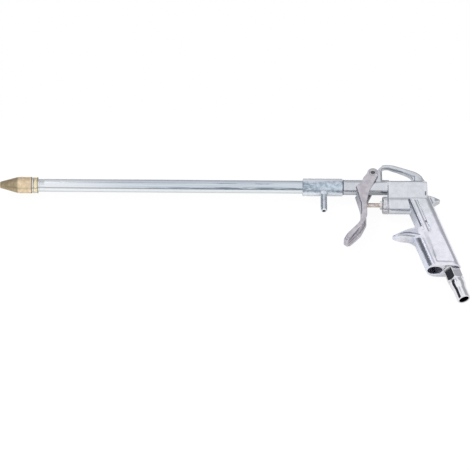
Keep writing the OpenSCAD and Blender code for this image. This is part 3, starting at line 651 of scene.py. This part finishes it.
def press_painted_lines(mesh, painted_lines):
    """Presses the dark lines into a mesh where it faces the camera, and keeps how dark they are as its painted
    shade.
    """
    least_facing = 0.12
    painted_shade = mesh.attributes.new("painted_shade", "FLOAT", "POINT").data
    moves = []
    for vertex in mesh.vertices:
        if vertex.normal.dot(TO_CAMERA) < least_facing:
            continue
        back, up = in_picture(vertex.co / MM)
        for painted_line in painted_lines:
            share = painted_line.share(back, up)
            if share > 0:
                moves.append((vertex.index, vertex.normal * (-painted_line.depth * share * MM)))
                painted_shade[vertex.index].value = max(painted_shade[vertex.index].value, share * painted_line.dark)
    for index, move in moves:
        mesh.vertices[index].co += move


def lift_strap(mesh):
    """Lifts the hanging loop's strap, which the smoothing has thinned, most along its outer edge."""
    outer_lift, near_lift = 1.2, 1.5
    far_face, face_fade = 6, 8
    slope_start, slope_fade = 40, 12
    foot_height, foot_fade = 7.6, 2.5
    strap = [vertex for vertex in mesh.vertices
             if vertex.co.y / MM - BARREL_Y > LOOP_FOOT and vertex.co.x / MM - BARREL_FRONT > LUG_REAR + 1]
    tops = {}
    for vertex in strap:
        place = round(vertex.co.x / MM)
        tops[place] = max(tops.get(place, -FAR), vertex.co.y / MM)
    for vertex in strap:
        point = vertex.co / MM
        back = point.x - BARREL_FRONT
        below = tops[round(point.x)] - point.y
        outer = smooth_step(1 - below / STRAP_THICK)
        near = max(0.0, min(1.0, (point.z - BARREL_Z + far_face) / face_fade))
        slope = smooth_step((back - slope_start) / slope_fade)
        foot = smooth_step((point.y - BARREL_Y - foot_height) / foot_fade)
        lift = outer_lift * outer + near_lift * (1 - outer) * near * slope
        lift *= smooth_step(STRAP_THICK + 1.5 - below) * foot
        vertex.co.y += lift * MM


def finish_body(mesh):
    """Shapes the strap, presses the dark lines, and darkens the barrel and the strap with painted shade, duller
    than the flat faces.
    """
    lift_strap(mesh)
    press_painted_lines(mesh, BODY_PAINTED_LINES)
    # Painted shade on the barrel and the strap.
    barrel_and_strap_shade = 0.13
    painted_shade = mesh.attributes["painted_shade"].data
    for vertex in mesh.vertices:
        back = vertex.co.x / MM - BARREL_FRONT
        up = vertex.co.y / MM - BARREL_Y
        on_barrel = back < BLOCK_FRONT and up > -BARREL_RADIUS - 0.5
        if on_barrel or up > LOOP_FOOT:
            painted_shade[vertex.index].value = max(painted_shade[vertex.index].value, barrel_and_strap_shade)


def finish_trigger(mesh):
    """Presses the slit and the pad's wedge into the trigger, darkened with painted shade."""
    press_painted_lines(mesh, TRIGGER_PAINTED_LINES)


def frozen(rough, name):
    """The mesh of an object with its modifiers applied, and the object removed."""
    graph = bpy.context.evaluated_depsgraph_get()
    graph.update()
    mesh = bpy.data.meshes.new_from_object(rough.evaluated_get(graph))
    mesh.name = name
    source = rough.data
    bpy.data.objects.remove(rough)
    bpy.data.meshes.remove(source)
    return mesh


def casting(name, node, voxel, rounds, softness, finish):
    """A copy of a CAD node with the soft edges of a casting.

    It is remade in voxels and smoothed over some rounds. softness(point) says from 0 to 1 how much rounder
    it is at a point in millimetres, and finish(mesh) works on its smooth mesh."""
    soft_rounds = 40
    kept_faces = 0.5
    mesh = nodes[node].data.copy()
    mesh.materials.clear()
    shape = bmesh.new()
    shape.from_mesh(mesh)
    bmesh.ops.remove_doubles(shape, verts=shape.verts, dist=1e-6)
    shape.to_mesh(mesh)
    shape.free()

    rough = add_object(name + "_rough", mesh)
    remesh = rough.modifiers.new("skin", "REMESH")
    remesh.mode = "VOXEL"
    remesh.voxel_size = voxel * MM
    skin = add_object(name + "_skin", frozen(rough, name + "_skin"))
    smooth = skin.modifiers.new("soften", "SMOOTH")
    smooth.factor = 0.5
    smooth.iterations = rounds
    group = skin.vertex_groups.new(name="soft")
    for vertex in skin.data.vertices:
        weight = softness(vertex.co / MM)
        if weight > 0:
            group.add([vertex.index], weight, "REPLACE")
    rounder = skin.modifiers.new("rounder", "SMOOTH")
    rounder.factor = 0.5
    rounder.iterations = soft_rounds
    rounder.vertex_group = group.name

    soft = add_object(name + "_soft", frozen(skin, name + "_soft"))
    finish(soft.data)
    thin = soft.modifiers.new("thin", "DECIMATE")
    thin.ratio = kept_faces
    final = frozen(soft, name)
    final.shade_smooth()
    return add_object(name, final)


def make_castings():
    """The pistol body and the trigger."""
    body_voxel = 0.34
    trigger_voxel = 0.28
    body = casting("gun_casting", "gun_body", body_voxel, 5, body_roundness, finish_body)
    dress(body, "cast_body", "gun", "gun_body")
    trigger = casting("trigger_casting", "trigger", trigger_voxel, 7, trigger_roundness, finish_trigger)
    dress(trigger, "trigger_cast", "trigger", "trigger")


# Turned parts

def make_wand():
    """The plated tube, with the end of its thread showing behind the lock ring."""
    start, end, radius, _, _ = reach("wand_tube")
    wall = 1.0
    pitch, turns, depth = 0.75, 7, 0.14
    first_turn = reach("lock_ring")[1] + 0.6
    outline = [(start, radius)]
    for turn in range(turns):
        along = first_turn + turn * pitch
        outline += [(along, radius), (along + 0.3 * pitch, radius - depth), (along + 0.6 * pitch, radius)]
    outline += [(end, radius), (end, radius - wall), (start, radius - wall)]
    piece = revolved("wand", outline, along_x("wand_tube"))
    dress(piece, "tube_plate", "gun", "wand_tube")


def make_sleeve():
    """The siphon sleeve, whose ends are rounded over."""
    start, end, radius, _, _ = reach("siphon_sleeve")
    socket = reach("wand_tube")[1]
    bore = reach("barrel_adaptor")[2] + CLEARANCE
    corners = [(start, TUBE_BORE, 0), (start, radius, 0.7), (end, radius, 0.9), (end, bore, 0),
               (socket, bore, 0), (socket, TUBE_BORE, 0)]
    piece = revolved("sleeve", softened(corners), along_x("siphon_sleeve"))
    dress(piece, "zinc_plate", "gun", "siphon_sleeve")


def make_barb():
    """The suction barb, with a soft fillet of braze where it leaves the sleeve."""
    radius = mounts["siphon_barb_end"]["dims"]["r_mm"]
    low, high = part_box("siphon_barb")
    _, _, sleeve_radius, sleeve_y, _ = reach("siphon_sleeve")
    middle = Vector(((low.x + high.x) / 2, sleeve_y * MM, (low.z + high.z) / 2))
    end = sleeve_y - low.y / MM
    inner, bore, braze = 5.2, 1.5, 2.0
    lead, chamfer, countersink = 1.2, 0.45, 0.25
    corners = [(inner, bore, 0), (inner, radius, 0), (sleeve_radius + braze, radius, 1.6),
               (end - lead, radius, 0.6), (end, radius - chamfer, 0.25), (end, bore + countersink, 0.2),
               (end - 0.5, bore, 0)]
    piece = revolved("barb", softened(corners), axis_frame(middle, (0, -1, 0)), SLIM_SIDES)
    dress(piece, "zinc_plate", "gun", "siphon_barb")

    def saddle(shape):
        """The braze: rings that climb from the barb's foot on to the round sleeve, and a core under them."""
        steps = 8
        tuck, spread, sink = 0.1, 0.3, 0.08
        core_height, core_share = sleeve_radius - 2.6, 0.9
        rings = []
        for step in range(steps + 1):
            share = step / steps
            reach_out = radius - tuck + (braze + spread) * (1 - math.cos(share * math.pi / 2))
            lift = braze * (1 - math.sin(share * math.pi / 2)) - sink * share
            ring = []
            for side in range(SLIM_SIDES):
                angle = 2 * math.pi * side / SLIM_SIDES
                x, y = reach_out * math.cos(angle), reach_out * math.sin(angle)
                skin = math.sqrt(max(sleeve_radius ** 2 - y * y, 0))
                ring.append(shape.verts.new((x * MM, y * MM, (skin + lift) * MM)))
            rings.append(ring)
        for outer in (rings[-1], rings[0]):
            core = []
            for vertex in outer:
                x, y = vertex.co.x * core_share, vertex.co.y * core_share
                core.append(shape.verts.new((x, y, core_height * MM)))
            rings.append(core)
        rings.append(rings[0])
        for ring, following in zip(rings, rings[1:]):
            join_rings(shape, ring, following)

    matrix = Matrix(((1, 0, 0), (0, 0, -1), (0, 1, 0))).to_4x4()
    matrix.translation = middle
    fillet = add_piece("barb_braze", mesh_of("barb_braze", saddle), matrix)
    dress(fillet, "zinc_plate", "gun")


def make_nozzle():
    """The brass nozzle with its fine turned lines, and its pale neck."""
    start, end, radius, _, _ = reach("nozzle")
    tip_radius, outlet = 2.9, 1.2
    throat_end, socket_start = start + 5, start + 14
    corners = [(start, outlet, 0.15), (start, tip_radius, 0.4), (CONE_END - 1.2, radius - 0.35, 2.5),
               (CONE_END + 1.5, radius, 1.0)]
    lines, groove, half_width = 11, 0.07, 0.16
    lines_start, lines_end = CONE_END + 2.6, NOZZLE_BACK - 1.6
    for line in range(lines):
        along = lines_start + line * (lines_end - lines_start) / lines
        corners += [(along, radius, 0), (along + half_width, radius - groove, 0),
                    (along + 2 * half_width, radius, 0)]
    corners += [(NOZZLE_BACK, radius, 0.35), (NOZZLE_BACK, TUBE_BORE, 0), (socket_start, TUBE_BORE, 0),
                (throat_end, outlet, 0)]
    piece = revolved("brass_nozzle", softened(corners), along_x("nozzle"))
    dress(piece, "nozzle_brass", "nozzle", "nozzle")

    neck_end = end - CLEARANCE
    neck_radius = radius - 0.9
    corners = [(NOZZLE_BACK, TUBE_BORE, 0), (NOZZLE_BACK, neck_radius, 0), (neck_end, neck_radius, 0.2),
               (neck_end, TUBE_BORE, 0)]
    neck = revolved("nozzle_neck", softened(corners), along_x("nozzle"))
    dress(neck, "tube_plate", "nozzle")


def make_lock_ring():
    """The brass lock ring, waisted between its two rims."""
    start, end, radius, _, _ = reach("lock_ring")
    rim, waist, bevel = 0.7, 0.3, 0.3
    corners = [(start, TUBE_BORE, 0), (start, radius - bevel, 0.2), (start + rim, radius, 0.3),
               (start + 2 * rim, radius - waist, 0.5), (end - 2 * rim, radius - waist, 0.5),
               (end - rim, radius, 0.3), (end, radius - bevel, 0.2), (end, TUBE_BORE, 0)]
    nut = revolved("brass_lock_ring", softened(corners), along_x("lock_ring"))
    dress(nut, "ring_brass", "lock_ring", "lock_ring")


def make_gland():
    """The polished gland nut, whose lip covers the gasket's rim, and the pale collar in front of it."""
    start, end, radius, _, _ = reach("gland_nut")
    head_end, gasket_end = reach("gland_gasket")[:2]
    bore = reach("valve_stem")[2] + CLEARANCE
    shank_step, lip, lip_foot, lip_start = 1.5, 0.15, 0.7, 0.5
    shank = radius - shank_step
    lip_end = gasket_end - CLEARANCE
    corners = [(start, bore, 0), (start, radius, 1.4), (head_end - lip_foot, radius, 0.1),
               (head_end - lip_start, radius + lip, 0.1), (lip_end, radius + lip, 0.1),
               (lip_end, radius - lip, 0), (head_end, radius - lip, 0), (head_end, shank, 0),
               (end, shank, 0), (end, bore, 0)]
    piece = revolved("gland", softened(corners), along_x("gland_nut"))
    dress(piece, "gland_plated", "gun", "gland_nut")
    start, end, radius, _, _ = reach("stem_collar")
    corners = [(start, bore, 0.1), (start, radius, 0.4), (end, radius, 0.2), (end, bore, 0)]
    collar = revolved("collar", softened(corners), along_x("stem_collar"))
    dress(collar, "collar_nylon", "gun", "stem_collar")


def make_rivet():
    """The tubular rivet, whose rim is rolled over round its hollow."""
    low, high = (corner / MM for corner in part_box("trigger_pin"))
    pivot = Vector(joints["trigger_pull"]["pos_m"])
    inset, foot_step, sink, rim = 0.45, 0.3, 0.15, 0.35
    head = (high.x - low.x) / 2 - inset
    foot = head - foot_step
    pin, hollow, mouth, depth, head_height = 2.3, 1.6, 2.1, 1.1, 0.6
    top, bottom = high.z - sink, low.z
    corners = [(bottom, 0, 0), (bottom, foot, 0.2), (bottom + head_height, foot, 0.2),
               (bottom + head_height, pin, 0), (top - head_height, pin, 0), (top - head_height, head, 0.15),
               (top, head - rim, rim), (top, mouth, 0.3), (top - head_height, hollow, 0.2),
               (top - depth, hollow, 0), (top - depth, 0, 0)]
    upright = axis_frame((pivot.x, pivot.y, 0), (0, 0, 1))
    piece = revolved("rivet", softened(corners), upright, SLIM_SIDES)
    dress(piece, "rivet_steel", "trigger", "trigger_pin")


def hexagon(flats, mark, turn):
    """A radius that follows a hexagon of a width across flats, turned by an angle.

    A radius above the mark asks for the hexagon, cut off at what it has above the mark. Others stay."""
    def radius_at(radius, angle):
        if radius <= mark:
            return radius
        sector = (angle - turn + math.pi / 6) % (math.pi / 3) - math.pi / 6
        return min(flats / 2 / math.cos(sector), radius - mark)
    return radius_at


def make_plug():
    """The coupling plug: thread, waist, shoulder and nose, with a hexagon round its waist."""
    mount = mounts["inlet_plug_nose"]
    axis = Vector(mount["axis"])
    seat_to_mount = 27.2
    seat = Vector(mount["pos_m"]) - axis * seat_to_mount * MM
    matrix = axis_frame(seat, axis)
    nose, nose_length = mount["dims"]["r_mm"], 11
    bore, mouth, mouth_depth = 3.75, 4.5, 3
    thread, thread_start, thread_lead, thread_bevel = 6.0, -11, 0.6, 0.5
    seal, waist, waist_end = 0.8, 6.2, 13.9
    shoulder, shoulder_end, length = 6.9, 16.9, 33.0
    corners = [(thread_start, bore, 0), (thread_start, thread - thread_bevel, 0),
               (thread_start + thread_lead, thread, 0), (seal, thread, 0), (seal, waist, 0),
               (waist_end, waist, 0.3), (waist_end, shoulder, 0.5), (shoulder_end, shoulder, 0.6),
               (length - nose_length, nose, 1.5), (length, nose, 0.7), (length, mouth, 0.3),
               (length - mouth_depth, bore, 0)]
    piece = revolved("plug", softened(corners), matrix)
    dress(piece, "plug_chrome", "gun", "inlet_plug")

    flats, hex_end, turn = 14.0, 12.3, math.radians(41)
    half = flats / 2
    corner = half / math.cos(math.pi / 6)
    mark, chamfer, steps, sides = 20.0, 1.0, 8, 144
    root = waist - 0.4
    rise = [(chamfer * step / steps, mark + half + 0.1 + (corner - half - 0.05) * step / steps)
            for step in range(steps + 1)]
    profile = [(seal, root)]
    profile += [(seal + along, radius) for along, radius in rise]
    profile += [(hex_end - along, radius) for along, radius in reversed(rise)]
    profile += [(hex_end, root)]
    nut = revolved("plug_hexagon", profile, matrix, sides, hexagon(flats, mark, turn))
    dress(nut, "plug_chrome", "gun")


def make_stem():
    """The brass stem, with turned rings where it shows in front of the gland."""
    start, end, _, _, _ = reach("valve_stem")
    visible_end = reach("stem_collar")[0]
    seat = reach("valve_disc")[0]
    disc_end = reach("disc_washer")[1]
    radius, tail, collar = 2.0, 1.6, 2.5
    lead, margin, pitch, groove, half_width = 2.5, 1, 1.0, 0.16, 0.25
    corners = [(start, 0, 0), (start, radius, 1.2)]
    along = start + lead
    while along < visible_end - margin:
        corners += [(along, radius, 0), (along + half_width, radius - groove, 0),
                    (along + 2 * half_width, radius, 0)]
        along += pitch
    corners += [(seat, radius, 0), (seat, tail, 0), (disc_end, tail, 0), (disc_end, collar, 0),
                (end, tail, 0), (end, 0, 0)]
    piece = revolved("stem", softened(corners), along_x("valve_stem"), SLIM_SIDES)
    dress(piece, "stem_brass", "valve", "valve_stem")


def make_spring():
    """The return spring, a copy of its CAD node with a mesh of its own."""
    mesh = nodes["return_spring"].data.copy()
    piece = add_piece("coil_spring", mesh)
    dress(piece, "spring_steel", "gun", "return_spring")
    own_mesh(piece)


KEPT_NODES = {
    "pin_washer": "rivet_steel",
    "gland_gasket": "rubber",
    "stem_seal": "rubber",
    "valve_disc": "rubber",
    "disc_washer": "stem_brass",
    "spring_seat": "rivet_steel",
    "plug_seal": "ptfe",
    "barrel_adaptor": "stem_brass",
    "barrel_gasket": "rubber",
    "air_jet": "stem_brass",
    "nozzle_seal": "rubber",
}


# Studio

def near_direction(net, direction, centre, inner, outer):
    """1 near a direction of the sky, fading to 0, with both angles in degrees."""
    nearness = net.dot(direction, Vector(centre).normalized())
    return net.ramp(nearness, math.cos(math.radians(outer)), math.cos(math.radians(inner)))


def facing(net, direction, azimuth, inner, outer):
    """1 where a direction's azimuth, from -X towards +Y, lies within an angle, fading to 0 at outer."""
    level = net.add("ShaderNodeVectorMath", operation="MULTIPLY")
    net.link(direction, level.inputs[0])
    level.inputs[1].default_value = (1, 1, 0)
    unit = net.add("ShaderNodeVectorMath", operation="NORMALIZE")
    net.link(level.outputs[0], unit.inputs[0])
    turn = math.radians(azimuth)
    return near_direction(net, unit.outputs[0], (-math.cos(turn), math.sin(turn), 0), inner, outer)


def background(net, shade, strength=1.0):
    """A shader for the sky in one colour."""
    node = net.add("ShaderNodeBackground")
    net.put(colour(shade), node.inputs["Color"])
    node.inputs["Strength"].default_value = strength
    return node.outputs[0]


def shader_mix(net, share, first, second):
    """Two shaders mixed: the first where the share is 0 and the second where it is 1."""
    node = net.add("ShaderNodeMixShader")
    net.link(share, node.inputs[0])
    net.link(first, node.inputs[1])
    net.link(second, node.inputs[2])
    return node.outputs[0]


def make_world():
    """A white studio with a sky of its own for metal.

    Metal sees a dark horizon, a dark flag on the left, a grey one on the right, a grey patch high above
    and a small bright spot beside it."""
    world = bpy.data.worlds.new("studio")
    scene.world = world
    net = Net(world)
    white, sky_white, grey = (1.0, 1.0, 1.0), (1.0, 1.0, 1.03), (0.46, 0.46, 0.49)
    back_low, back_high = (0.34, 0.34, 0.36), (0.72, 0.72, 0.76)
    front_low, patch_grey = (0.36, 0.36, 0.39), (0.62, 0.62, 0.66)
    flag_dark, spot_white = (0.036, 0.038, 0.046), (2.0, 2.0, 2.05)
    patch_place, spot_place = (-0.33, 0.44, 0.83), (-0.54, 0.37, 0.765)
    direction = net.add("ShaderNodeTexCoord").outputs["Generated"]
    rays = net.add("ShaderNodeLightPath")
    height = net.part(direction, "Z")
    depth = net.part(direction, "Y")

    back = net.mix(net.ramp(height, 0.02, 0.24), back_low, back_high)
    back = net.mix(net.ramp(height, 0.5, 0.75), back, sky_white)
    front = net.mix(net.ramp(height, 0.10, 0.36), front_low, sky_white)
    sky = net.mix(net.ramp(depth, -0.15, 0.15), front, back)
    right = net.both(facing(net, direction, 135, 25, 50), net.ramp(height, 0.68, 0.84, 1.0, 0.0))
    sky = net.mix(right, sky, grey)
    sky = net.mix(near_direction(net, direction, patch_place, 8, 13), sky, patch_grey)
    left = net.both(facing(net, direction, 14, 28, 34), net.ramp(height, 0.64, 0.70, 1.0, 0.0))
    sky = net.mix(left, sky, flag_dark)
    sky = net.mix(near_direction(net, direction, spot_place, 1.5, 4), sky, spot_white)
    light = shader_mix(net, rays.outputs["Is Glossy Ray"], background(net, white, 0.85), background(net, sky))
    whole = shader_mix(net, rays.outputs["Is Camera Ray"], light, background(net, white))
    output = net.add("ShaderNodeOutputWorld")
    net.link(whole, output.inputs["Surface"])


def make_floor():
    """A white bench that keeps a soft shadow of the gun.

    It glows for the camera and through glass, and less so in metal, which keeps the gun's own shade."""
    left, right, near, far = -0.34, 0.34, -0.3, 0.13
    white = (0.86, 0.86, 0.87)
    glow_strength, glow_share, metal_share = 1.04, 0.9, 0.35
    mesh = bpy.data.meshes.new("bench")
    corners = [(left, near, 0), (right, near, 0), (right, far, 0), (left, far, 0)]
    mesh.from_pydata(corners, [], [(0, 1, 2, 3)])
    bench = add_object("bench", mesh)
    material, net = new_material("bench_white")
    rays = net.add("ShaderNodeLightPath")
    matt = net.add("ShaderNodeBsdfDiffuse")
    matt.inputs["Color"].default_value = colour(white)
    glow = net.add("ShaderNodeEmission")
    glow.inputs["Strength"].default_value = glow_strength
    shown = net.math("ADD", rays.outputs["Is Camera Ray"], rays.outputs["Is Transmission Ray"])
    shown = net.math("ADD", shown, net.both(rays.outputs["Is Glossy Ray"], metal_share))
    shown = net.both(shown, glow_share)
    output = net.add("ShaderNodeOutputMaterial")
    net.link(shader_mix(net, shown, matt.outputs[0], glow.outputs[0]), output.inputs["Surface"])
    mesh.materials.append(material)


def make_lamp():
    """One large soft lamp above and behind the wand."""
    place = Vector((-0.62, 0.49, 1.03))
    lamp = bpy.data.lights.new("soft_box", "AREA")
    lamp.shape = "RECTANGLE"
    lamp.size = 0.45
    lamp.size_y = 0.45
    lamp.energy = 7.0
    holder = add_object("soft_box", lamp)
    holder.visible_glossy = False
    holder.location = place
    holder.rotation_euler = (-place).to_track_quat("-Z", "Y").to_euler()


def make_camera():
    """The photograph's view: from the front edge of the bench, 57 degrees up, with a slight roll."""
    distance, width = 2.5, 0.423
    roll = math.radians(0.43)
    ahead, below = 98.16, 52.57
    target = Vector((BARREL_FRONT - ahead, BARREL_Y - below, BARREL_Z)) * MM
    right = Vector((1, 0, 0))
    up = TO_CAMERA.cross(right)
    rolled_right = right * math.cos(roll) + up * math.sin(roll)
    rolled_up = up * math.cos(roll) - right * math.sin(roll)
    data = bpy.data.cameras.new("camera")
    data.sensor_width = 36
    data.lens = data.sensor_width * distance / width
    data.clip_start = 0.05
    camera = add_object("camera", data)
    matrix = Matrix((rolled_right, rolled_up, TO_CAMERA)).transposed().to_4x4()
    matrix.translation = target + TO_CAMERA * distance
    camera.matrix_world = matrix
    scene.camera = camera


make_camera()
make_castings()
make_wand()
make_sleeve()
make_barb()
make_nozzle()
make_lock_ring()
make_gland()
make_rivet()
make_plug()
make_stem()
make_spring()
for node, slot in KEPT_NODES.items():
    finish_node(node, slot)
make_world()
make_floor()
make_lamp()
scene.view_settings.view_transform = "Standard"
